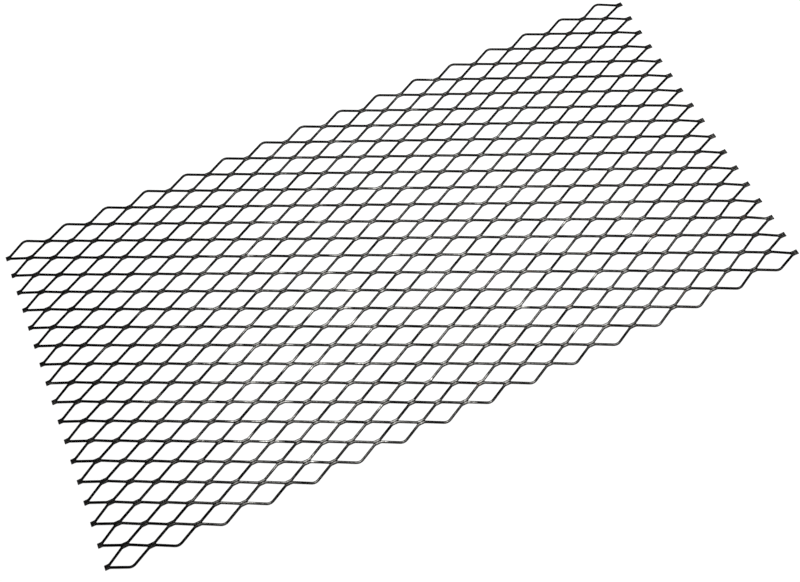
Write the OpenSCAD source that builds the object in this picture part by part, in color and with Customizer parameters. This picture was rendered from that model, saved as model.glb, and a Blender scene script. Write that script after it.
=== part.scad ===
// Flattened expanded steel sheet: one plate, slit and stretched into diamonds, then rolled flat.
// Zigzag strands run along X and meet in bonds that are two strands wide.
// The origin is on the floor under the middle of the sheet, with the long way of the diamonds on X.

/* [Mesh] */
// Diamonds along the long way of the sheet
columns = 16; // [4:1:32]
// Whole diamonds across the sheet, from one edge strand to the other
rows = 17; // [6:1:34]
// Long way of a diamond, bond centre to bond centre
long_pitch = 62.5; // [45:0.5:90]
// Short way of a diamond, bond centre to bond centre
short_pitch = 29.4; // [20:0.1:45]

/* [Strand] */
// Width of one strand, square to its own direction
strand_w = 3.3; // [1.5:0.1:4.5]
// Thickness of the flattened strands
sheet_t = 2; // [1:0.1:4]
// Straight length of a bond, on its outer sides
bond_l = 8.2; // [5:0.1:14]

/* [Corners] */
// Radius at the tip of a diamond, where the slit ended
tip_r = 0.7; // [0.3:0.1:1.5]
// Radius inside the bends of a strand
bend_r = 5; // [1:0.5:8]
// Radius inside the free crests of the edge strands
crest_r = 9; // [4:0.5:14]

/* [Cut ends] */
// How far the sheet reaches past the middle of the bonds at its left end
left_stub = 1.2; // [0.5:0.1:3]
// How far the sheet reaches past the middle of the bonds at its right end
right_stub = 5.2; // [0.5:0.1:6]
// How far the shears pushed the bonds at both ends along X
push_x = 0.6; // [-1.5:0.1:1.5]
// How far the shears pushed the bonds at both ends along Y
push_y = -1.8; // [-3:0.1:3]

/* [Hidden] */
NODES = ["front_rows", "mid_front_rows", "mid_back_rows", "back_rows"];
TIP_STEPS = 2;
BEND_STEPS = 1;
CREST_STEPS = 5;
steel = [0.25, 0.25, 0.24];

// A strand lies between two bond lines, which are half a diamond apart
line_gap = short_pitch / 2;
strands = 2 * rows;
// Length between the middles of the bonds at both ends, and width without the crests' round
mesh_l = columns * long_pitch;
mesh_w = strands * line_gap;
// What a strand climbs from one bond to the next, and its run between the flats of those bonds
climb = line_gap - strand_w;
run = long_pitch / 2 - bond_l;
// Tangent of half the angle of the climb that keeps the strand as wide on the slope as at the bonds
half_slope = climb / (run + sqrt(run * run + (climb - 2 * strand_w) * climb));
slope = 2 * half_slope / (1 - half_slope * half_slope);
// Half lengths of a bond: on its outer sides, and on the bond line up to the tips of the diamonds
flat_x = bond_l / 2;
slit_x = flat_x + strand_w * half_slope;
// Half length of the metal that moves as one with a pushed bond
rigid_x = slit_x + 2 * tip_r;
// Both ends, from which the middle of the sheet is half way
left_end = -mesh_l / 2 - left_stub;
right_end = mesh_l / 2 + right_stub;

function unit(v) = v / norm(v);

// Arc of the given radius that rounds the corner at b, on the way from a to c
function corner(a, b, c, r, steps) =
    let (
        u = unit(a - b),
        v = unit(c - b),
        half = acos(u * v) / 2,
        turn = 180 - 2 * half,
        centre = b + unit(u + v) * r / sin(half),
        start = b + u * r / tan(half) - centre,
        end = b + v * r / tan(half) - centre
    )
    [for (k = [0 : steps])
        centre + (start * sin(turn * (1 - k / steps)) + end * sin(turn * k / steps)) / sin(turn)];

// Height of bond line k, counted from the front edge
function line_y(k) = k * line_gap - mesh_w / 2;

// First bond line of section k of the sheet, where k runs to the number of sections. It is an even
// one, on which the ends have no stub.
function cut_line(k) = 2 * round(k * rows / len(NODES));

// Moves a point with the end bonds: as far as they went, and less and less along their legs
function pushed(p) =
    let (past = abs(p.x) - mesh_l / 2 + long_pitch / 2 - rigid_x)
    p + [push_x, push_y] * min(1, max(0, past / (long_pitch / 2 - 2 * rigid_x)));

// The part of a path from left to right that lies between both ends
function clipped(path) =
    concat([[left_end, lookup(left_end, path)]],
        [for (p = path) if (p.x > left_end && p.x < right_end) p],
        [[right_end, lookup(right_end, path)]]);

// Outline of a diamond: a long hexagon with tight tips and easy bends. On the side where out is, 1 at
// the back and -1 at the front, it lies under a crest and has one wide bend.
function diamond(out) =
    let (
        tip = long_pitch / 2 - slit_x,
        sides = [for (up = [1, -1]) up == out
            ? [[[0, up * (climb + flat_x * slope)], crest_r, CREST_STEPS]]
            : [for (s = [up, -up]) [[s * flat_x, up * climb], bend_r, BEND_STEPS]]],
        all = concat([[[tip, 0], tip_r, TIP_STEPS]], sides[0], [[[-tip, 0], tip_r, TIP_STEPS]], sides[1]),
        n = len(all)
    )
    [for (k = [0 : n - 1])
        each corner(all[(k + n - 1) % n][0], all[k][0], all[(k + 1) % n][0], all[k][1], all[k][2])];

// Diamonds along bond line k: between the bonds, which step by half a diamond from line to line
module diamond_row(k) {
    on_ends = k % 2 == 0;
    shift = on_ends ? 0 : long_pitch / 2;
    outline = diamond(k == 1 ? -1 : k == strands - 1 ? 1 : 0);
    for (c = [0 : on_ends ? columns : columns - 1])
        polygon([for (p = outline) pushed(p + [c * long_pitch + shift - mesh_l / 2, line_y(k)])]);
}

// Outer side of an edge strand from end to end; up is 1 on the back edge and -1 on the front one
function edge_side(up) =
    let (
        valley = up * (mesh_w / 2 - climb),
        peak = up * (mesh_w / 2 + slit_x * slope),
        bends = [for (c = [-1 : columns])
            let (x = c * long_pitch - mesh_l / 2)
            each [[x + flat_x, valley], [x + long_pitch / 2, peak], [x + long_pitch - flat_x, valley]]],
        path = concat([bends[0] - [1, 0]], bends, [bends[len(bends) - 1] + [1, 0]])
    )
    [for (k = [1 : len(bends)])
        let (on_crest = path[k].y == peak)
        each corner(path[k - 1], path[k], path[k + 1],
                    on_crest ? crest_r + strand_w : bend_r, on_crest ? CREST_STEPS : BEND_STEPS)];

// Side of a section along bond line k: straight through the bonds, or an edge strand's outer side
function section_side(k) =
    k == 0 || k == strands
        ? clipped([for (p = edge_side(k == 0 ? -1 : 1)) pushed(p)])
        : [[left_end, line_y(k)], [right_end, line_y(k)]];

function reversed(list) = [for (k = [len(list) - 1 : -1 : 0]) list[k]];

// Strands from one bond line to another, fused at their bonds
module section(first, last) {
    color(steel) translate([-(left_end + right_end) / 2, 0, 0]) linear_extrude(sheet_t) difference() {
        polygon(concat(section_side(first), reversed(section_side(last))));
        for (k = [max(first, 1) : min(last, strands - 1)]) diamond_row(k);
    }
}

module front_rows() { section(cut_line(0), cut_line(1)); }
module mid_front_rows() { section(cut_line(1), cut_line(2)); }
module mid_back_rows() { section(cut_line(2), cut_line(3)); }
module back_rows() { section(cut_line(3), cut_line(4)); }

front_rows();
mid_front_rows();
mid_back_rows();
back_rows();
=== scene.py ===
"""A flattened expanded steel sheet, zigzag strands fused at their bonds, in dark mill scale.

It lies on a white stage. Every surface is worked out as whole numpy arrays, and lengths are in metres.
"""

import bpy
import numpy as np
from bpy.props import FloatProperty, FloatVectorProperty, IntProperty, PointerProperty
from mathutils import Euler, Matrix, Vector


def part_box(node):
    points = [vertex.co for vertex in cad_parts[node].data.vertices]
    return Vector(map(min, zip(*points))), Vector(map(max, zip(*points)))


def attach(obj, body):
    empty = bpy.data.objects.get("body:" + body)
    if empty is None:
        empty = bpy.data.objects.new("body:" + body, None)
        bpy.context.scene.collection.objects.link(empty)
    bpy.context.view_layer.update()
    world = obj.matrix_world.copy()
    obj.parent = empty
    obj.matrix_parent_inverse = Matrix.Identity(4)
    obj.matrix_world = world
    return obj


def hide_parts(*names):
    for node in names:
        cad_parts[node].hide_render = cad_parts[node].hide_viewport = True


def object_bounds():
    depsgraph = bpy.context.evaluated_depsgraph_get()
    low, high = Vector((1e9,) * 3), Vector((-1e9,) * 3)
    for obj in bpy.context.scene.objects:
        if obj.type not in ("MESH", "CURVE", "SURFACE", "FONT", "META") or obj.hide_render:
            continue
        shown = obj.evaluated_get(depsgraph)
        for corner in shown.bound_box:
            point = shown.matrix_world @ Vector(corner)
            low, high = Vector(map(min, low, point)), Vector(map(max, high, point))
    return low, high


bl_info = {
    "name": "Expanded Steel Sheet",
    "version": (1, 0, 0),
    "blender": (4, 5, 0),
    "location": "3D View > Sidebar > Steel Sheet",
    "description": "Builds a flattened expanded steel sheet with its finish and a white stage",
    "category": "Add Mesh",
}

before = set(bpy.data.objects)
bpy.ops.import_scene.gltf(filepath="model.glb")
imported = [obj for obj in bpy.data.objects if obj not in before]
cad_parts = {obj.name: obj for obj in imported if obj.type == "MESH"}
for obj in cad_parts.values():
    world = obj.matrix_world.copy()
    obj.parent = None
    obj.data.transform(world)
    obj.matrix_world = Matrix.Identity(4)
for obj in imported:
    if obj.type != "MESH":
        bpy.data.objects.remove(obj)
CAD_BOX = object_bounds()
SHEET_LOW, SHEET_HIGH = (np.array(corner) for corner in CAD_BOX)
SHEET_MIDDLE = (SHEET_LOW + SHEET_HIGH) / 2
SECTIONS = ("front_rows", "mid_front_rows", "mid_back_rows", "back_rows")

# Places in a section ring, in order: up the near side, over the top, down the far side, back under
NEAR_LOW, NEAR_HIGH, NEAR_TOP, FAR_TOP, FAR_HIGH, FAR_LOW, FAR_UNDER, NEAR_UNDER = range(8)
RING = 8
# The sides of a ring that a shear cut
NEAR_WALL, FAR_WALL = NEAR_LOW, FAR_HIGH
# Order of the materials on a section
ROLLED, SHEARED = 0, 1
# What a point carries for its material: how near it is to an edge, which darkens it as wear and as
# painted shade, the tone of its rolled face, random tone with painted sheen and painted shade in it,
# and how near it is to the middle of a bond
MARKS = ("edge_wear_and_shade", "tone_and_painted_light", "bond_share")
# Places along a leg, from bond to bond, between which its tone is drawn straight
TONE_KNOTS = np.array([0, 0.375, 0.5, 0.625])
# Share of a crest's turn that is left out in its middle, where it is drawn flat
CREST_FLAT = 0.2
# Section rings along a stub, past the middle of its bond
STUB_RINGS = 3
# Points are welded on a grid as fine as this, in metres
WELD = 1e-7
# Width of the camera's sensor, in millimetres
SENSOR_WIDTH = 36


class MeshSizes(bpy.types.PropertyGroup):
    """Sizes of the diamonds and of the strands between them."""

    columns: IntProperty(
        name="Columns", description="Diamonds along the sheet", default=16, min=1)
    rows: IntProperty(
        name="Rows", description="Whole diamonds across the sheet", default=17, min=1)
    long_pitch: FloatProperty(
        name="Long pitch", description="Long way of a diamond, bond centre to bond centre",
        default=0.0625, unit="LENGTH", precision=4)
    short_pitch: FloatProperty(
        name="Short pitch", description="Short way of a diamond, bond centre to bond centre",
        default=0.0294, unit="LENGTH", precision=4)
    strand_width: FloatProperty(
        name="Strand width", description="Width of a strand, square to its own direction",
        default=0.0033, unit="LENGTH", precision=4)
    flat_length: FloatProperty(
        name="Flat length", description="Straight length of a bond, on its outer sides",
        default=0.0082, unit="LENGTH", precision=4)
    tip_radius: FloatProperty(
        name="Tip radius", description="Radius at the tip of a diamond",
        default=0.0007, unit="LENGTH", precision=4)
    bend_radius: FloatProperty(
        name="Bend radius", description="Radius inside the bends of a strand",
        default=0.005, unit="LENGTH", precision=4)
    crest_radius: FloatProperty(
        name="Crest radius", description="Radius inside the free crests of the edge strands",
        default=0.009, unit="LENGTH", precision=4)
    stubs: FloatVectorProperty(
        name="Stubs", description="How far the left and right ends reach past their last bonds' middles",
        size=2, unit="LENGTH", default=(0.0012, 0.0052), precision=4)
    push: FloatVectorProperty(
        name="Push", description="How far the shears pushed the bonds at both ends",
        size=2, unit="LENGTH", default=(0.0006, -0.0018), precision=4)


class ReliefSizes(bpy.types.PropertyGroup):
    """Sizes of the relief that shearing and rolling leave on the strands."""

    metal_thickness: FloatProperty(
        name="Metal thickness", description="Thickness of the strands themselves",
        default=0.00194, unit="LENGTH", precision=5)
    bond_rise: FloatProperty(
        name="Bond rise", description="How far a bond's near side stands above its middle",
        default=0.00002, unit="LENGTH", precision=5)
    edge_round: FloatProperty(
        name="Edge round", description="Width and drop of the round on a strand's near top edge",
        default=0.0004, unit="LENGTH", precision=5)
    under_round: FloatProperty(
        name="Under round", description="Width and drop of the rounds on the bottom edges",
        default=0.00015, unit="LENGTH", precision=5)
    slope_width: FloatProperty(
        name="Slope width", description="Width of the slope that rolling leaves along the far top edge",
        default=0.0011, unit="LENGTH", precision=5)
    slope_drop: FloatProperty(
        name="Slope drop", description="How far that slope falls",
        default=0.0003, unit="LENGTH", precision=5)
    crease_width: FloatProperty(
        name="Crease width",
        description="Half width of the crease in the middle of a bond; it is twice as wide at its ends",
        default=0.0008, unit="LENGTH", precision=5)
    crease_depth: FloatProperty(
        name="Crease depth",
        description="Depth of that crease in the middle of the bond; it is twice as deep at its ends",
        default=0.0001, unit="LENGTH", precision=5)
    facet_dip: FloatProperty(
        name="Facet dip", description="How far one side of a leg's rolled face may lie low",
        default=0.00015, unit="LENGTH", precision=5)
    end_round: FloatProperty(
        name="End round", description="Width of the round at the cut ends, which drops half as far",
        default=0.0002, unit="LENGTH", precision=5)
    seed: IntProperty(
        name="Seed", description="Picks which legs lie low on which side, and how strands shine", default=7)


class WearAndShadeLook(bpy.types.PropertyGroup):
    """Tone of the rolled faces, an even bond being 1, and the edge values that darken them. The tone holds
    random tone, painted sheen and painted shade; the edge values darken as wear and as painted shade.

    An edge value is 0 on clean scale and 1 on a sheared side.
    """

    bond_tones: FloatVectorProperty(
        name="Bond tones", description="Shine of the dullest and of the brightest bond",
        size=2, default=(0.85, 1.25))
    leg_tone: FloatProperty(
        name="Leg tone", description="What the brightest leg shines more than the dullest one", default=0.75)
    # Legs are toned far darker than bonds, darkest in their middles: random tone with painted shade
    end_tones: FloatVectorProperty(
        name="End tones", description="Least shine of a dull leg's ends, and what chance adds to it",
        size=2, default=(0.05, 0.4))
    middle_tone: FloatProperty(
        name="Middle tone", description="Shine of a dull leg's middle", default=0.02)
    # Painted shade: legs are darkened towards both ends of the sheet, where the lamp's sheen falls off
    painted_sheen_falloff: FloatVectorProperty(
        name="Dulling", description="Share of shine that legs lose at both ends, in the near and far rows",
        size=2, default=(0.36, 0.9))
    # Painted shade on the low side of a leaning leg
    lean_shade: FloatProperty(
        name="Lean shade", description="Share of its shine that the low side of a leg loses", default=0.85)
    # Painted glints: bright leg ends, gathered where the lamp's reflection falls
    painted_glint_tone: FloatProperty(
        name="Streak tone", description="Shine of the leg ends that are bright streaks", default=3.4)
    painted_glint_shares: FloatVectorProperty(
        name="Streak shares", description="Share of streaks anywhere, and what the place below adds",
        size=2, default=(0.05, 0.25))
    painted_glint_place: FloatVectorProperty(
        name="Streak place", description="Where streaks gather, along and across, as shares of the sheet",
        size=2, default=(0.27, 0.38))
    painted_glint_reach: FloatVectorProperty(
        name="Streak reach", description="How wide they gather there, along and across",
        size=2, default=(0.12, 0.3))
    # Edge values darken the rolled face towards the sheared colour: wear, and painted shade along the rounds,
    # the far slope and in the crease
    face_edge: FloatProperty(
        name="Face edge", description="Edge value on the rolled face, away from its edges", default=0.1)
    near_edge: FloatVectorProperty(
        name="Near edge", description="Edge value at the top of the near round, on a leg and at a bond",
        size=2, default=(0.65, 0.55))
    slope_edge: FloatVectorProperty(
        name="Slope edge", description="Edge value at the foot of the far slope, on a leg and at a bond",
        size=2, default=(0.7, 0.45))
    crease_edge: FloatVectorProperty(
        name="Crease edge", description="Edge value in the crease, in the middle of a bond and at its end",
        size=2, default=(0.9, 1.0))
    slit_edge: FloatProperty(
        name="Slit edge", description="Edge value beside the crease's end, where a slit stopped", default=0.4)
    under_edge: FloatProperty(
        name="Under edge", description="Edge value underneath, off the bond lines", default=0.2)


class SteelLook(bpy.types.PropertyGroup):
    """Colours and finish of the mill scale."""

    scale_light: FloatVectorProperty(
        name="Scale", description="Mill scale on the rolled faces",
        subtype="COLOR", default=(0.22, 0.217, 0.206), min=0, max=1)
    scale_dark: FloatVectorProperty(
        name="Scale patches", description="Darker patches in the mill scale",
        subtype="COLOR", default=(0.013, 0.012, 0.0105), min=0, max=1)
    # Near-black: the sheared sides' own dark colour with painted shade, which keeps the walls dark against
    # the white floor
    sheared: FloatVectorProperty(
        name="Sheared sides", description="Sides of the strands, where the slits ran",
        subtype="COLOR", default=(0.004, 0.0037, 0.0034), min=0, max=1)
    sheared_contrast: FloatProperty(
        name="Sheared contrast", description="How many times as light the pale grain of sheared sides is",
        default=3, min=0)
    rust: FloatVectorProperty(
        name="Rust", description="Thin rust on a few bonds",
        subtype="COLOR", default=(0.12, 0.096, 0.08), min=0, max=1)
    rolled_scales: FloatVectorProperty(
        name="Rolled scales", description="Noise scale of patches and of grain on the rolled faces",
        size=2, default=(300, 1100), min=0)
    sheared_scales: FloatVectorProperty(
        name="Sheared scales", description="Noise scale of patches and of grain on the sheared sides",
        size=2, default=(200, 1600), min=0)
    patch_share: FloatProperty(
        name="Patch share", description="Share of patches in the scale's mottling; the rest is grain",
        default=0.6, min=0, max=1)
    edge_grain: FloatProperty(
        name="Edge grain", description="What grain adds to the edge value, which makes edges ragged",
        default=0.25, min=0)
    edge_range: FloatVectorProperty(
        name="Edge range", description="Edge values between which scale turns into a sheared side",
        size=2, default=(0.3, 0.85), min=0)
    sheared_metallic: FloatProperty(
        name="Sheared metallic", description="How metallic edges and sheared sides are",
        default=0.2, min=0, max=1)
    reflection: FloatProperty(
        name="Reflection", description="Specular level of both materials", default=0.04, min=0, max=1)
    rolled_rough: FloatVectorProperty(
        name="Rolled roughness", description="Roughness of the rolled faces, in dark and in pale grain",
        size=2, default=(0.2, 0.1), min=0, max=1)
    bond_rough: FloatProperty(
        name="Bond roughness", description="What the middle of a bond is rougher", default=0.04, min=0)
    edge_rough: FloatProperty(
        name="Edge roughness", description="What an edge is rougher", default=0.3, min=0)
    sheared_rough: FloatVectorProperty(
        name="Sheared roughness", description="Roughness of sheared sides, in dark and in pale patches",
        size=2, default=(0.6, 0.8), min=0, max=1)
    bump_depth: FloatProperty(
        name="Bump depth", description="Depth of the scale's texture", default=0.0001, unit="LENGTH",
        precision=5)
    bump_strengths: FloatVectorProperty(
        name="Bump strengths", description="Strength of that texture on rolled faces and sheared sides",
        size=2, default=(0.5, 0.6), min=0, max=1)


class StageLook(bpy.types.PropertyGroup):
    """Camera, light and floor."""

    camera_place: FloatVectorProperty(
        name="Camera place", description="Where the camera stands",
        subtype="TRANSLATION", default=(-0.2015, -0.5596, 1.3028))
    camera_turn: FloatVectorProperty(
        name="Camera turn", description="How the camera is turned",
        subtype="EULER", default=(0.43689, 0.06705, -0.41789))
    lens: FloatProperty(
        name="Lens", description="Focal length on a 36 mm sensor",
        default=45.8, unit="CAMERA")
    shift: FloatVectorProperty(
        name="Shift", description="Lens shift that the photograph's framing has",
        size=2, default=(0.0511, -0.0575), precision=4)
    softbox_place: FloatVectorProperty(
        name="Softbox place", description="Where the softbox hangs, facing down",
        subtype="TRANSLATION", default=(0.35, 0.41, 1.6))
    softbox_size: FloatVectorProperty(
        name="Softbox size", description="Its length and width",
        size=2, unit="LENGTH", default=(1.7, 1.4))
    softbox_power: FloatProperty(
        name="Softbox power", description="Its power in watts", default=24, min=0)
    ceiling: FloatProperty(
        name="Ceiling", description="Brightness of the dim ceiling that metal mirrors", default=0.02, min=0)
    horizon: FloatVectorProperty(
        name="Horizon", description="Rise of a look, between which the white horizon fades to the ceiling",
        size=2, default=(0.05, 0.4))
    fill: FloatProperty(
        name="Fill", description="Brightness of the soft light from all round", default=0.06, min=0)
    floor_size: FloatProperty(
        name="Floor size", description="Length of the floor's sides", default=24, unit="LENGTH")
    floor_shade: FloatProperty(
        name="Floor shade", description="How pale the floor is where light falls on it",
        default=0.3, min=0, max=1)
    floor_glow: FloatProperty(
        name="Floor glow", description="White that the camera sees on the floor without any lamp",
        default=0.9, min=0, max=1)


def arc(middle, radius, start, end, count=3):
    """Points on a circle round middle, from one angle to another, as an array of (x, y)."""
    turn = np.linspace(start, end, count)
    return middle + radius * np.stack([np.cos(turn), np.sin(turn)], axis=1)


def half_slope(sizes):
    """Tangent of half a leg's slope, at which a strand is as wide on its legs as at the bonds.

    With the rise and run of a leg between its flats, it is the rise over the sum of the run and the root
    of run squared plus rise times the rise less two widths.
    """
    rise = sizes.short_pitch / 2 - sizes.strand_width
    run = sizes.long_pitch / 2 - sizes.flat_length
    return rise / (run + np.sqrt(run ** 2 + (rise - 2 * sizes.strand_width) * rise))


def near_side(sizes, free, crested):
    """Plan of a strand's near side, from the middle of a bond up to the middle of the next one.

    It leaves the bond line round the tip of the diamond, climbs the slope and turns over a bend to the
    flat of the next bond. Where the side is free it starts on the outside of a crest, and where it is
    crested it ends on the inside of one: arcs between the slopes on both sides, flat in their middle.
    """
    width, half_turn = sizes.strand_width, half_slope(sizes)
    slope = 2 * np.arctan(half_turn)
    flat, bend, across = sizes.flat_length / 2, sizes.bend_radius, sizes.long_pitch / 2
    rise = sizes.short_pitch / 2 - width
    reach = flat + width * half_turn
    if free:
        outer = sizes.crest_radius + width
        middle = (0, outer / np.cos(slope) - reach * np.tan(slope))
        leave = arc(middle, outer, slope * CREST_FLAT - np.pi / 2, slope - np.pi / 2)
        first = (0, leave[0, 1])
    else:
        tip = sizes.tip_radius
        leave = arc((reach + tip / np.sin(slope), 0), tip, np.pi, np.pi / 2 + slope)
        first = (0, 0)
    if crested:
        inner = sizes.crest_radius
        middle = (across, rise + flat * np.tan(slope) - inner / np.cos(slope))
        arrive = arc(middle, inner, np.pi / 2 + slope, np.pi / 2 + slope * CREST_FLAT)
    else:
        arrive = arc((across - flat + bend * half_turn, rise - bend), bend, np.pi / 2 + slope, np.pi / 2)
    return np.vstack([[first], leave, [(leave[-1] + arrive[0]) / 2], arrive, [(across, arrive[-1, 1])]])


def half_leg(sizes, free_near, free_far):
    """A strand from the middle of one bond up to the middle of the next, as a dict of arrays.

    The far side is a near side turned by half a turn about the middle of the leg. crease is 1 in the
    middle of a bond, 2 at its end, where the slit stopped, and 0 where the side isn't on a bond line.
    """
    turned = np.array([sizes.long_pitch / 2, sizes.short_pitch / 2])
    near = near_side(sizes, free_near, free_far)
    far = (turned - near_side(sizes, free_far, free_near))[::-1]
    crease = np.zeros(len(near))
    crease[:2] = 1, 2
    climb = (near[:, 1] - near[0, 1]) / (near[-1, 1] - near[0, 1])
    return {
        "near": near,
        "far": far,
        "near_crease": crease * (not free_near),
        "far_crease": crease[::-1] * (not free_far),
        "near_climb": climb,
        "far_climb": 1 - climb[::-1],
    }


def whole_strand(leg, sizes, starts_low):
    """Joins copies of a leg end to end along a strand, each second one mirrored."""
    columns, half_pitch = sizes.columns, sizes.long_pitch / 2
    mirrored = {name: values[::-1] for name, values in leg.items()}
    for name in ("near", "far"):
        mirrored[name] = mirrored[name] * (-1, 1) + (half_pitch, 0)
    order = (leg, mirrored) if starts_low else (mirrored, leg)
    count = len(leg["near"]) - 1
    strand = {}
    for name in leg:
        copies = [order[k % 2][name][:count] for k in range(2 * columns)]
        if name in ("near", "far"):
            copies = [copy + (k * half_pitch, 0) for k, copy in enumerate(copies)]
            last = order[1][name][-1] + ((2 * columns - 1) * half_pitch, 0)
        else:
            last = order[1][name][-1]
        strand[name] = np.concatenate([*copies, [last]])
    strand["place"] = np.arange(len(strand["near"])) / count
    return strand


def with_stub(strand, sizes, end, reach):
    """The strand carried on past its last bond's middle, at end 0 or -1.

    It is straight along the bond line, and its other side opens like the start of a bend: by the
    radius less the root of its square less the square of the way past the bend's start.
    """
    out = np.linspace(0, reach, STUB_RINGS + 1)[1:]
    bend = sizes.bend_radius
    past = np.maximum(out - sizes.flat_length / 2 + bend * half_slope(sizes), 0)
    opened = bend - np.sqrt(bend ** 2 - past ** 2)
    fused_near = strand["near_crease"][end] > 0
    along = out if end else -out
    more = {name: np.repeat(values[[end]], len(out), axis=0) for name, values in strand.items()}
    more["near"] = more["near"] + np.stack([along, -opened * (not fused_near)], axis=1)
    more["far"] = more["far"] + np.stack([along, opened * fused_near], axis=1)
    if end:
        return {name: np.concatenate([values, more[name]]) for name, values in strand.items()}
    return {name: np.concatenate([more[name][::-1], values]) for name, values in strand.items()}


def leg_shares(sizes, wear_and_shade, line):
    """Painted sheen of the legs above a bond line, and the share of their ends that are painted glints.

    The painted sheen falls off towards both ends of the sheet, as painted shade: by the square of the way
    from the middle, and more so in the far rows. Glints go with the square of that sheen, and gather round a
    place in a bell curve.
    """
    along = (np.arange(2 * sizes.columns) + 0.5) / (2 * sizes.columns)
    across = line / (2 * sizes.rows)
    near_loss, far_loss = wear_and_shade.painted_sheen_falloff
    # Painted sheen, which falls off as painted shade towards both ends of the sheet
    shine = 1 - (2 * along - 1) ** 2 * (near_loss + (far_loss - near_loss) * across)
    place, reach = wear_and_shade.painted_glint_place, wear_and_shade.painted_glint_reach
    gathered = np.exp(-((along - place[0]) / reach[0]) ** 2 - ((across - place[1]) / reach[1]) ** 2)
    anywhere, added = wear_and_shade.painted_glint_shares
    return shine, anywhere * shine ** 2 + added * gathered


def tone_and_painted_light(sizes, relief, wear_and_shade, line, place):
    """How the rolled face is toned along the strand above a bond line, 1 being an even bond. Besides
    random tone it holds painted light: painted shade that makes legs far darker than bonds, and painted
    glints on some leg ends.

    The tone is drawn straight from each bond to the start of the leg, on to the leg's middle, to its
    other end and the next bond. Chance lifts a leg by the square of an even draw. The bonds' tones
    belong to their bond line, so both strands of a bond have the same.
    """
    legs = 2 * sizes.columns
    draws = [np.random.default_rng((relief.seed, number)) for number in (line, line + 1)]
    low, high = (draw.uniform(*wear_and_shade.bond_tones, legs + 1) for draw in draws)
    on_low = (np.arange(legs + 1) + line) % 2 == 1
    bonds = np.where(on_low, low, high)
    rng = np.random.default_rng((relief.seed, line, legs))
    leg_painted_sheen, painted_glint_share = leg_shares(sizes, wear_and_shade, line)
    lift = wear_and_shade.leg_tone * rng.uniform(0, 1, (legs, 1)) ** 2
    least, added = wear_and_shade.end_tones
    ends = (least + lift + added * rng.uniform(0, 1, (legs, 2)) ** 2) * leg_painted_sheen[:, None]
    # Painted shade: dark leg middles
    middles = (wear_and_shade.middle_tone + lift[:, 0]) * leg_painted_sheen
    # Painted glints on some leg ends
    painted_glints = rng.uniform(0, 1, (legs, 2)) < painted_glint_share[:, None]
    ends = np.where(painted_glints, wear_and_shade.painted_glint_tone, ends)
    values = np.stack([bonds[:-1], ends[:, 0], middles, ends[:, 1]], axis=1)
    knots = np.arange(legs)[:, None] + TONE_KNOTS
    return np.interp(place, np.append(knots, legs), np.append(values, bonds[-1]))


def pushed(plan, sizes):
    """Moves points with the end bonds: all of the way there, and evenly less along the legs next to them.

    A bond moves as one piece out to the tips of its diamonds.
    """
    half, half_pitch = sizes.columns * sizes.long_pitch / 2, sizes.long_pitch / 2
    rigid = sizes.flat_length / 2 + sizes.strand_width * half_slope(sizes) + 2 * sizes.tip_radius
    past = np.abs(plan[:, 0] - half) - half + half_pitch - rigid
    share = np.clip(past / (half_pitch - 2 * rigid), 0, 1)
    return plan + share[:, None] * np.array(sizes.push)


def line_place(sizes, line):
    """Place of a bond line along Y, counted from the front edge."""
    return SHEET_MIDDLE[1] + (line - sizes.rows) * sizes.short_pitch / 2


def strand_path(sizes, line):
    """The strand above bond line number line, with its stubs and the push of its end bonds."""
    leg = half_leg(sizes, line == 0, line == 2 * sizes.rows - 1)
    strand = whole_strand(leg, sizes, starts_low=line % 2 == 1)
    strand = with_stub(strand, sizes, 0, sizes.stubs[0] + sizes.push[0])
    strand = with_stub(strand, sizes, -1, sizes.stubs[1] - sizes.push[0])
    for name in ("near", "far"):
        strand[name] = pushed(strand[name], sizes)
    return strand


def leg_lean(sizes, relief, line, place):
    """Which side of each leg lies low, at every place along a strand: -1 is all near and 1 all far."""
    rng = np.random.default_rng((relief.seed, line))
    return rng.uniform(-1, 1, 2 * sizes.columns + 1)[place.astype(int)]


def side_rounds(mark, relief, width, drop):
    """Width and drop of the top round along a side, width and lift of the bottom one, and the crease.

    Where the side is fused, the crease of the bond takes the place of the rounds.
    """
    fused, crease = mark > 0, mark * relief.crease_depth
    return (np.where(fused, mark * relief.crease_width, width), np.where(fused, crease, drop),
            np.where(fused, 0, relief.under_round), np.where(fused, crease, relief.under_round), crease)


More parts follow.
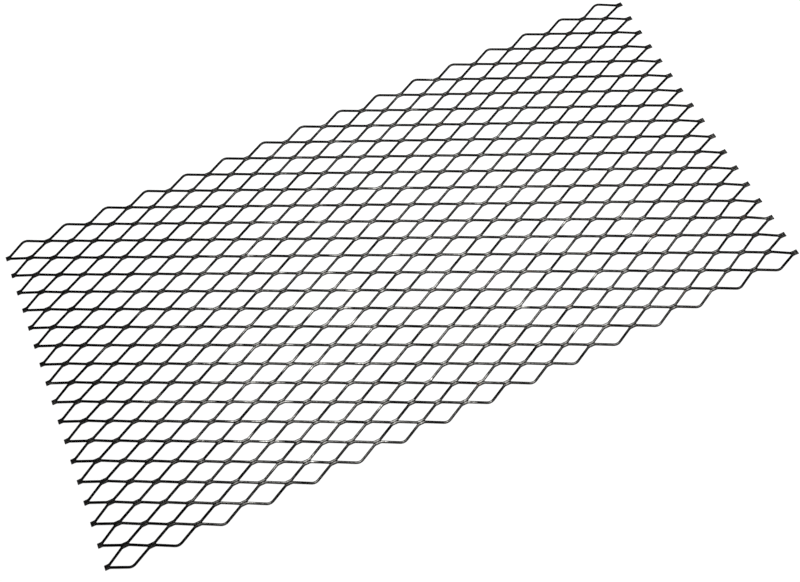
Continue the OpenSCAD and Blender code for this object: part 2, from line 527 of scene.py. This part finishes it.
def ring_points(strand, relief, lean):
    """Points of the section rings along a strand.

    A ring is a flat bar with a round on the near top edge, a wider slope on the far one, and small
    rounds underneath. On a bond line they close up to a shallow crease that the next strand shares.
    A bond tilts by the bond rise: its near side stands above the bond line's level and its far side
    below it. Along a leg the rolled face dips on one side, by sin squared of its climb.
    """
    near, far = strand["near"], strand["far"]
    across = far - near
    across /= np.linalg.norm(across, axis=1)[:, None]
    near_round, near_drop, near_under, near_lift, near_crease = side_rounds(
        strand["near_crease"], relief, relief.edge_round, relief.edge_round)
    far_slope, far_drop, far_under, far_lift, far_crease = side_rounds(
        strand["far_crease"], relief, relief.slope_width, relief.slope_drop)

    near_level = SHEET_MIDDLE[2] + relief.bond_rise * strand["near_climb"]
    far_level = SHEET_MIDDLE[2] - relief.bond_rise * (1 - strand["far_climb"])
    half = relief.metal_thickness / 2
    fade = np.sin(np.pi * strand["near_climb"]) ** 2 * relief.facet_dip
    near_dip, far_dip = np.clip(-lean, 0, 1) * fade, np.clip(lean, 0, 1) * fade

    def inward(side, sign, width):
        return side + sign * across * width[:, None]

    plan_and_level = {
        NEAR_LOW: (near, near_level - half + near_lift),
        NEAR_HIGH: (near, near_level + half - near_drop),
        NEAR_TOP: (inward(near, 1, near_round), near_level + half - near_dip),
        FAR_TOP: (inward(far, -1, far_slope), far_level + half - far_dip),
        FAR_HIGH: (far, far_level + half - far_drop),
        FAR_LOW: (far, far_level - half + far_lift),
        FAR_UNDER: (inward(far, -1, far_under), far_level - half + far_crease),
        NEAR_UNDER: (inward(near, 1, near_under), near_level - half + near_crease),
    }
    return np.stack([np.column_stack(plan_and_level[place]) for place in range(RING)], axis=1)


def edge_marks(strand, wear_and_shade, share):
    """How near each point of the rings is to an edge, from 0 on clean scale to 1 on a sheared side. The
    value darkens the colour: as wear, and as painted shade along the rounds, the far slope and the crease.

    share is 1 in the middle of a bond and 0 in the middle of a leg, and values in between follow it.
    """
    def between(pair):
        return pair[0] + (pair[1] - pair[0]) * share

    near_mark, far_mark = strand["near_crease"].astype(int), strand["far_crease"].astype(int)
    edge = np.ones((len(share), RING))
    edge[:, [NEAR_UNDER, FAR_UNDER]] = wear_and_shade.under_edge
    edge[:, FAR_HIGH] = between(wear_and_shade.slope_edge)
    edge[:, NEAR_TOP] = np.choose(near_mark, (between(wear_and_shade.near_edge), wear_and_shade.face_edge, wear_and_shade.slit_edge))
    edge[:, FAR_TOP] = np.choose(far_mark, (wear_and_shade.face_edge, wear_and_shade.face_edge, wear_and_shade.slit_edge))
    # Painted shade: the crease and the slit ends on a bond line are darkened nearly to a sheared side
    for mark, places in ((near_mark, [NEAR_LOW, NEAR_HIGH, NEAR_UNDER]),
                         (far_mark, [FAR_HIGH, FAR_LOW, FAR_UNDER])):
        on_line = mark > 0
        edge[np.ix_(on_line, places)] = np.array(wear_and_shade.crease_edge)[mark[on_line] - 1, None]
    return edge


def ring_marks(strand, sizes, relief, wear_and_shade, line, lean):
    """The marks of every point of the rings, in the order of MARKS.

    The bond share is cos squared along the strand, which is 1 in the middle of each bond. The low side
    of a leg is darkened as painted shade by twice its lean, up to a limit, and less the nearer the bond is.
    """
    share = np.cos(np.pi * strand["place"]) ** 2
    tone = tone_and_painted_light(sizes, relief, wear_and_shade, line, strand["place"])
    tone = np.repeat(tone[:, None], RING, axis=1)
    for side, places in ((-lean, slice(NEAR_LOW, FAR_TOP)), (lean, slice(FAR_TOP, FAR_UNDER))):
        tone[:, places] *= 1 - wear_and_shade.lean_shade * (np.clip(2 * side, 0, 1) * (1 - share))[:, None]
    bond = np.repeat(share[:, None], RING, axis=1)
    return np.stack([edge_marks(strand, wear_and_shade, share), tone, bond], axis=-1)


def strand_rings(sizes, relief, wear_and_shade, line):
    """Rings and marks of the strand above a bond line, and where its two sides are fused."""
    strand = strand_path(sizes, line)
    lean = leg_lean(sizes, relief, line, strand["place"])
    rings = ring_points(strand, relief, lean)
    rings[..., 0] += SHEET_LOW[0] + sizes.stubs[0]
    rings[..., 1] += line_place(sizes, line)
    marks = ring_marks(strand, sizes, relief, wear_and_shade, line, lean)
    return finish_ends(rings, marks, strand["near_crease"] > 0, strand["far_crease"] > 0, relief.end_round)


def finish_ends(rings, marks, near_fused, far_fused, end_round):
    """Rounds the top of both cut ends: one more ring a little way in, and the end ring lowered."""
    inner = end_round / np.linalg.norm(rings[1, 0] - rings[0, 0])

    def widen(values, mix):
        first = values[0] * (1 - mix) + values[1] * mix
        last = values[-1] * (1 - mix) + values[-2] * mix
        return np.concatenate([values[:1], [first], values[1:-1], [last], values[-1:]])

    rings, marks = widen(rings, inner), widen(marks, inner)
    near_fused, far_fused = (
        np.concatenate([fused[:1], fused, fused[-1:]]) for fused in (near_fused, far_fused))
    for end in (0, -1):
        rings[end, NEAR_HIGH:FAR_LOW, 2] -= end_round / 2
        marks[end, :, MARKS.index("edge_wear_and_shade")] = 1
    return rings, marks, near_fused, far_fused


def strand_faces(count, near_open, far_open, offset):
    """Quads between neighbouring rings and their material, without the sides that a bond has fused."""
    step = np.arange(count - 1)[:, None]
    place = np.arange(RING)[None, :]
    after = (place + 1) % RING
    quads = np.stack([step * RING + place, (step + 1) * RING + place,
                      (step + 1) * RING + after, step * RING + after], axis=-1)
    keep = np.ones((count - 1, RING), bool)
    keep[:, NEAR_WALL] = near_open[:-1] | near_open[1:]
    keep[:, FAR_WALL] = far_open[:-1] | far_open[1:]
    kinds = np.where((place == NEAR_WALL) | (place == FAR_WALL), SHEARED, ROLLED)
    kinds = np.broadcast_to(kinds, keep.shape)
    return quads[keep] + offset, kinds[keep]


def without_repeats(faces, kinds):
    """Faces without the corners that welding has made the same, if three or more are left."""
    fresh = faces != np.roll(faces, -1, axis=1)
    corners = fresh.sum(axis=1)
    polygons, kept_kinds = [], []
    for sides in range(3, faces.shape[1] + 1):
        chosen = corners == sides
        polygons += faces[chosen][fresh[chosen]].reshape(-1, sides).tolist()
        kept_kinds.append(kinds[chosen])
    return polygons, np.concatenate(kept_kinds)


def section_mesh(name, sizes, relief, wear_and_shade):
    """Points, marks, faces and materials of one section, welded where strands share a bond line."""
    low, high = (np.array(corner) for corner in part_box(name))
    first, last = (round(2 * (side[1] - line_place(sizes, 0)) / sizes.short_pitch) for side in (low, high))
    points, marks, quads, kinds, caps = [], [], [], [], []
    offset = 0
    for line in range(first, last):
        rings, strand_marks, near_fused, far_fused = strand_rings(sizes, relief, wear_and_shade, line)
        count = len(rings)
        points.append(rings.reshape(-1, 3))
        marks.append(strand_marks.reshape(-1, len(MARKS)))
        near_open = ~near_fused | (line == first)
        far_open = ~far_fused | (line == last - 1)
        new_quads, new_kinds = strand_faces(count, near_open, far_open, offset)
        quads.append(new_quads)
        kinds.append(new_kinds)
        caps.append(offset + np.arange(RING))
        caps.append(offset + (count - 1) * RING + np.arange(RING)[::-1])
        offset += count * RING
    points, marks = np.vstack(points), np.vstack(marks)
    grid = np.round(points / WELD).astype(np.int64)
    _, index, weld = np.unique(grid, axis=0, return_index=True, return_inverse=True)
    weld = weld.ravel()
    sides, side_kinds = without_repeats(weld[np.vstack(quads)], np.concatenate(kinds))
    ends, end_kinds = without_repeats(weld[np.array(caps)], np.full(len(caps), SHEARED))
    return {
        "points": points[index],
        "faces": sides + ends,
        "kinds": np.concatenate([side_kinds, end_kinds]),
        "smooth": np.arange(len(sides) + len(ends)) < len(sides),
        "marks": marks[index].astype(np.float32),
    }


def new_section(name, parts, materials):
    """Puts the arrays of a section into a mesh object at the origin."""
    mesh = bpy.data.meshes.new(name)
    mesh.from_pydata(parts["points"].tolist(), [], parts["faces"])
    mesh.polygons.foreach_set("use_smooth", parts["smooth"])
    mesh.polygons.foreach_set("material_index", parts["kinds"].astype(np.int32))
    for title, values in zip(MARKS, parts["marks"].T):
        mesh.attributes.new(title, "FLOAT", "POINT").data.foreach_set("value", values)
    for material in materials:
        mesh.materials.append(material)
    mesh.update()
    piece = bpy.data.objects.new(name, mesh)
    bpy.context.scene.collection.objects.link(piece)
    flatter = piece.modifiers.new("Face weights", "WEIGHTED_NORMAL")
    flatter.keep_sharp = True
    return piece


def feed(tree, socket, value):
    """Links another node's socket into socket, or gives it a plain value."""
    if isinstance(value, bpy.types.NodeSocket):
        tree.links.new(value, socket)
    else:
        socket.default_value = value


def add_node(tree, kind, settings=None, **inputs):
    """Adds a node and feeds its inputs. In an input's name an underscore stands for a space."""
    node = tree.nodes.new(kind)
    for name, value in (settings or {}).items():
        setattr(node, name, value)
    for name, value in inputs.items():
        feed(tree, node.inputs[name.replace("_", " ")], value)
    return node


def attribute(tree, name):
    """The socket of one of the marks."""
    return add_node(tree, "ShaderNodeAttribute", {"attribute_name": name}).outputs["Fac"]


def map_range(tree, value, low, high, to_low=0.0, to_high=1.0):
    """Carries a value from one range to another, eased at both ends, and gives the socket."""
    node = add_node(tree, "ShaderNodeMapRange", {"interpolation_type": "SMOOTHSTEP"}, Value=value,
                    From_Min=low, From_Max=high, To_Min=to_low, To_Max=to_high)
    return node.outputs["Result"]


def mix_color(tree, factor, low, high):
    """Mixes two colours or sockets by factor."""
    node = add_node(tree, "ShaderNodeMix", {"data_type": "RGBA"})
    for name, value in (("Factor_Float", factor), ("A_Color", low), ("B_Color", high)):
        feed(tree, next(s for s in node.inputs if s.identifier == name), value)
    return next(s for s in node.outputs if s.identifier == "Result_Color")


def calc(tree, operation, first, second):
    """One sum, difference or product of two values or sockets."""
    node = add_node(tree, "ShaderNodeMath", {"operation": operation})
    for socket, value in zip(node.inputs, (first, second)):
        feed(tree, socket, value)
    return node.outputs["Value"]


def blend(tree, first, second, share):
    """The sum of two values, where the first one counts by share and the second by the rest."""
    return calc(tree, "ADD", calc(tree, "MULTIPLY", first, share), calc(tree, "MULTIPLY", second, 1 - share))


def new_group(name, inputs, outputs):
    """A shader node group with the given float or vector inputs and outputs."""
    group = bpy.data.node_groups.new(name, "ShaderNodeTree")
    for title, kind, value in inputs:
        socket = group.interface.new_socket(title, in_out="INPUT", socket_type=kind)
        if value is not None:
            socket.default_value = value
    for title, kind in outputs:
        group.interface.new_socket(title, in_out="OUTPUT", socket_type=kind)
    return group, group.nodes.new("NodeGroupInput"), group.nodes.new("NodeGroupOutput")


def grain_group():
    """Scale texture: patches some millimetres wide, fine grain along the sheet, and the height of both."""
    group, source, result = new_group(
        "scale_texture",
        [("Vector", "NodeSocketVector", None), ("Patch Scale", "NodeSocketFloat", 90.0),
         ("Grain Scale", "NodeSocketFloat", 900.0)],
        [("Patches", "NodeSocketFloat"), ("Grain", "NodeSocketFloat"), ("Height", "NodeSocketFloat")])
    given = source.outputs
    patches = add_node(group, "ShaderNodeTexNoise", Vector=given["Vector"], Scale=given["Patch Scale"],
                       Detail=3.0, Roughness=0.6)
    stretched = add_node(group, "ShaderNodeMapping", Vector=given["Vector"], Scale=(0.45, 1.0, 1.0))
    grain = add_node(group, "ShaderNodeTexNoise", Vector=stretched.outputs["Vector"],
                     Scale=given["Grain Scale"], Detail=2.0, Roughness=0.7)
    wide = map_range(group, patches.outputs["Fac"], 0.35, 0.65)
    fine = map_range(group, grain.outputs["Fac"], 0.3, 0.7)
    for name, value in (("Patches", wide), ("Grain", fine), ("Height", blend(group, wide, fine, 0.5))):
        group.links.new(value, result.inputs[name])
    return group


def rust_group():
    """Rust bloom: fine specks inside a few wide spots, more of them towards the right end.

    A spot starts where its noise, and what each metre along the sheet adds, pass the threshold.
    """
    group, source, result = new_group(
        "rust_bloom",
        [("Vector", "NodeSocketVector", None), ("Spot Scale", "NodeSocketFloat", 34.0),
         ("Speck Scale", "NodeSocketFloat", 700.0), ("Gain Along", "NodeSocketFloat", 0.16),
         ("Threshold", "NodeSocketFloat", 0.68), ("Border", "NodeSocketFloat", 0.07)],
        [("Mask", "NodeSocketFloat")])
    given = source.outputs
    spots = add_node(group, "ShaderNodeTexNoise", Vector=given["Vector"], Scale=given["Spot Scale"],
                     Detail=1.0)
    specks = add_node(group, "ShaderNodeTexNoise", Vector=given["Vector"], Scale=given["Speck Scale"],
                      Detail=2.0)
    along = add_node(group, "ShaderNodeSeparateXYZ", Vector=given["Vector"]).outputs["X"]
    gain = calc(group, "MULTIPLY", along, given["Gain Along"])
    lifted = calc(group, "ADD", spots.outputs["Fac"], gain)
    past = calc(group, "SUBTRACT", lifted, given["Threshold"])
    inside = map_range(group, past, 0.0, given["Border"])
    fine = map_range(group, specks.outputs["Fac"], 0.35, 0.6)
    group.links.new(calc(group, "MULTIPLY", inside, fine), result.inputs["Mask"])
    return group


def new_material(name):
    """A material with its tree and its Principled shader."""
    material = bpy.data.materials.new(name)
    material.use_nodes = True
    return material, material.node_tree, material.node_tree.nodes["Principled BSDF"]


def scale_texture(tree, grain, scales, place):
    """The outputs of the scale texture, with patches and grain at the given noise scales."""
    patch_scale, grain_scale = scales
    return add_node(tree, "ShaderNodeGroup", {"node_tree": grain}, Vector=place,
                    Patch_Scale=patch_scale, Grain_Scale=grain_scale).outputs


def add_bump(tree, shader, height, strength, depth):
    """Feeds a height to the shader's normal."""
    bump = add_node(tree, "ShaderNodeBump", Height=height, Strength=strength, Distance=depth)
    feed(tree, shader.inputs["Normal"], bump.outputs["Normal"])


def rolled_material(look, grain, rust):
    """Mill scale on the rolled faces: mottled, darkened along the edges as wear and as painted shade, its
    colour scaled by a tone that holds painted sheen and painted shade, with a soft sheen in between.
    """
    material, tree, shader = new_material("mill_scale")
    place = add_node(tree, "ShaderNodeTexCoord").outputs["Object"]
    texture = scale_texture(tree, grain, look.rolled_scales, place)
    bloom = add_node(tree, "ShaderNodeGroup", {"node_tree": rust}, Vector=place)
    # The edge value darkens towards the sheared colour: wear, and painted shade along rounds and creases
    ragged = calc(tree, "ADD", attribute(tree, "edge_wear_and_shade"),
                  calc(tree, "MULTIPLY", texture["Grain"], look.edge_grain))
    side = map_range(tree, ragged, *look.edge_range)

    mottling = blend(tree, texture["Patches"], texture["Grain"], look.patch_share)
    scale = mix_color(tree, mottling, (*look.scale_dark, 1), (*look.scale_light, 1))
    rusty = mix_color(tree, bloom.outputs["Mask"], scale, (*look.rust, 1))
    # The tone scales the colour: random tone with painted sheen, painted glints and painted shade
    toned = add_node(tree, "ShaderNodeVectorMath", {"operation": "SCALE"}, Vector=rusty,
                     Scale=attribute(tree, "tone_and_painted_light")).outputs["Vector"]
    feed(tree, shader.inputs["Base Color"], mix_color(tree, side, toned, (*look.sheared, 1)))

    feed(tree, shader.inputs["Metallic"], map_range(tree, side, 0, 1, 1.0, look.sheared_metallic))
    even = calc(tree, "ADD", map_range(tree, texture["Grain"], 0, 1, *look.rolled_rough),
                calc(tree, "MULTIPLY", attribute(tree, "bond_share"), look.bond_rough))
    rough = calc(tree, "ADD", even, calc(tree, "MULTIPLY", side, look.edge_rough))
    feed(tree, shader.inputs["Roughness"], rough)
    shader.inputs["Specular IOR Level"].default_value = look.reflection
    add_bump(tree, shader, texture["Height"], look.bump_strengths[0], look.bump_depth)
    return material


def sheared_material(look, grain):
    """Sheared sides and cut ends: rough, nearly black from their own dark colour with painted shade, with a
    little lighter grain.
    """
    material, tree, shader = new_material("sheared_scale")
    place = add_node(tree, "ShaderNodeTexCoord").outputs["Object"]
    texture = scale_texture(tree, grain, look.sheared_scales, place)
    pale = (look.sheared_contrast * channel for channel in look.sheared)
    color = mix_color(tree, texture["Grain"], (*look.sheared, 1), (*pale, 1))
    feed(tree, shader.inputs["Base Color"], color)
    rough = map_range(tree, texture["Patches"], 0, 1, *look.sheared_rough)
    feed(tree, shader.inputs["Roughness"], rough)
    shader.inputs["Metallic"].default_value = look.sheared_metallic
    shader.inputs["Specular IOR Level"].default_value = look.reflection
    add_bump(tree, shader, texture["Height"], look.bump_strengths[1], look.bump_depth)
    return material


class SHEET_OT_sections(bpy.types.Operator):
    """Builds the four sections of the expanded sheet"""

    bl_idname = "sheet.sections"
    bl_label = "Sheet Sections"

    def execute(self, context):
        scene = context.scene
        grain, rust = grain_group(), rust_group()
        materials = (rolled_material(scene.sheet_look, grain, rust),
                     sheared_material(scene.sheet_look, grain))
        for name in SECTIONS:
            parts = section_mesh(name, scene.sheet_mesh, scene.sheet_relief, scene.sheet_wear)
            piece = new_section("sheet_" + name, parts, materials)
            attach(piece, "root")
            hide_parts(name)
        return {"FINISHED"}


def seen_directly(tree):
    """1 for what the camera sees, also in metal or through glass, and 0 for the light on things."""
    path = add_node(tree, "ShaderNodeLightPath").outputs
    rays = calc(tree, "ADD", path["Is Camera Ray"], path["Is Glossy Ray"])
    return calc(tree, "ADD", rays, path["Is Transmission Ray"])


def studio_world(scene, look):
    """White at the horizon and a dim ceiling for direct looks, and an even fill for the lighting."""
    world = bpy.data.worlds.new("studio")
    scene.world = world
    world.use_nodes = True
    tree = world.node_tree
    background = tree.nodes["Background"]
    background.inputs["Color"].default_value = (1, 1, 1, 1)
    direction = add_node(tree, "ShaderNodeTexCoord").outputs["Generated"]
    height = add_node(tree, "ShaderNodeSeparateXYZ", Vector=direction).outputs["Z"]
    seen = map_range(tree, height, *look.horizon, 1.0, look.ceiling)
    strength = add_node(tree, "ShaderNodeMix", Factor=seen_directly(tree), A=look.fill, B=seen)
    feed(tree, background.inputs["Strength"], strength.outputs["Result"])


def white_floor(scene, look):
    """A wide floor that the camera sees as white and that still takes the sheet's shadow."""
    half = look.floor_size / 2
    mesh = bpy.data.meshes.new("floor")
    corners = [(-half, -half, 0), (half, -half, 0), (half, half, 0), (-half, half, 0)]
    mesh.from_pydata(corners, [], [(0, 1, 2, 3)])
    floor = bpy.data.objects.new("floor", mesh)
    scene.collection.objects.link(floor)
    material, tree, shader = new_material("floor_white")
    shader.inputs["Base Color"].default_value = (*[look.floor_shade] * 3, 1)
    shader.inputs["Roughness"].default_value = 1
    shader.inputs["Specular IOR Level"].default_value = 0
    shader.inputs["Emission Color"].default_value = (1, 1, 1, 1)
    glow = calc(tree, "MULTIPLY", seen_directly(tree), look.floor_glow)
    feed(tree, shader.inputs["Emission Strength"], glow)
    mesh.materials.append(material)


class SHEET_OT_stage(bpy.types.Operator):
    """Sets up the camera, the lamp, the world and the floor"""

    bl_idname = "sheet.stage"
    bl_label = "White Stage"

    def execute(self, context):
        scene, look = context.scene, context.scene.sheet_stage
        camera_data = bpy.data.cameras.new("camera")
        camera_data.lens = look.lens
        camera_data.sensor_width = SENSOR_WIDTH
        camera_data.shift_x, camera_data.shift_y = look.shift
        camera = bpy.data.objects.new("camera", camera_data)
        camera.location = look.camera_place
        camera.rotation_euler = Euler(look.camera_turn)
        scene.collection.objects.link(camera)
        scene.camera = camera

        lamp_data = bpy.data.lights.new("softbox", "AREA")
        lamp_data.shape = "ELLIPSE"
        lamp_data.size, lamp_data.size_y = look.softbox_size
        lamp_data.energy = look.softbox_power
        lamp = bpy.data.objects.new("softbox", lamp_data)
        lamp.location = look.softbox_place
        scene.collection.objects.link(lamp)

        studio_world(scene, look)
        white_floor(scene, look)
        scene.view_settings.view_transform = "Standard"
        return {"FINISHED"}


class SHEET_PT_panel(bpy.types.Panel):
    """Lists the steps and their sizes"""

    bl_label = "Expanded Steel Sheet"
    bl_idname = "SHEET_PT_panel"
    bl_space_type = "VIEW_3D"
    bl_region_type = "UI"
    bl_category = "Steel Sheet"

    def draw(self, context):
        layout = self.layout
        layout.operator("sheet.stage")
        layout.operator("sheet.sections")
        for group in SETTINGS:
            box = layout.box()
            settings = getattr(context.scene, group)
            for name in settings.__annotations__:
                box.prop(settings, name)


# The settings that hang on a scene
SETTINGS = {"sheet_mesh": MeshSizes, "sheet_relief": ReliefSizes, "sheet_wear": WearAndShadeLook,
            "sheet_look": SteelLook, "sheet_stage": StageLook}
CLASSES = (*SETTINGS.values(), SHEET_OT_sections, SHEET_OT_stage, SHEET_PT_panel)


def register():
    """Registers the classes and hangs their settings on the scene."""
    for cls in CLASSES:
        bpy.utils.register_class(cls)
    for name, cls in SETTINGS.items():
        setattr(bpy.types.Scene, name, PointerProperty(type=cls))


def unregister():
    """Takes the settings and the classes away again."""
    for name in SETTINGS:
        delattr(bpy.types.Scene, name)
    for cls in reversed(CLASSES):
        bpy.utils.unregister_class(cls)


def main():
    """Builds the stage and the sheet."""
    register()
    bpy.ops.sheet.stage()
    bpy.ops.sheet.sections()


if __name__ == "__main__":
    main()
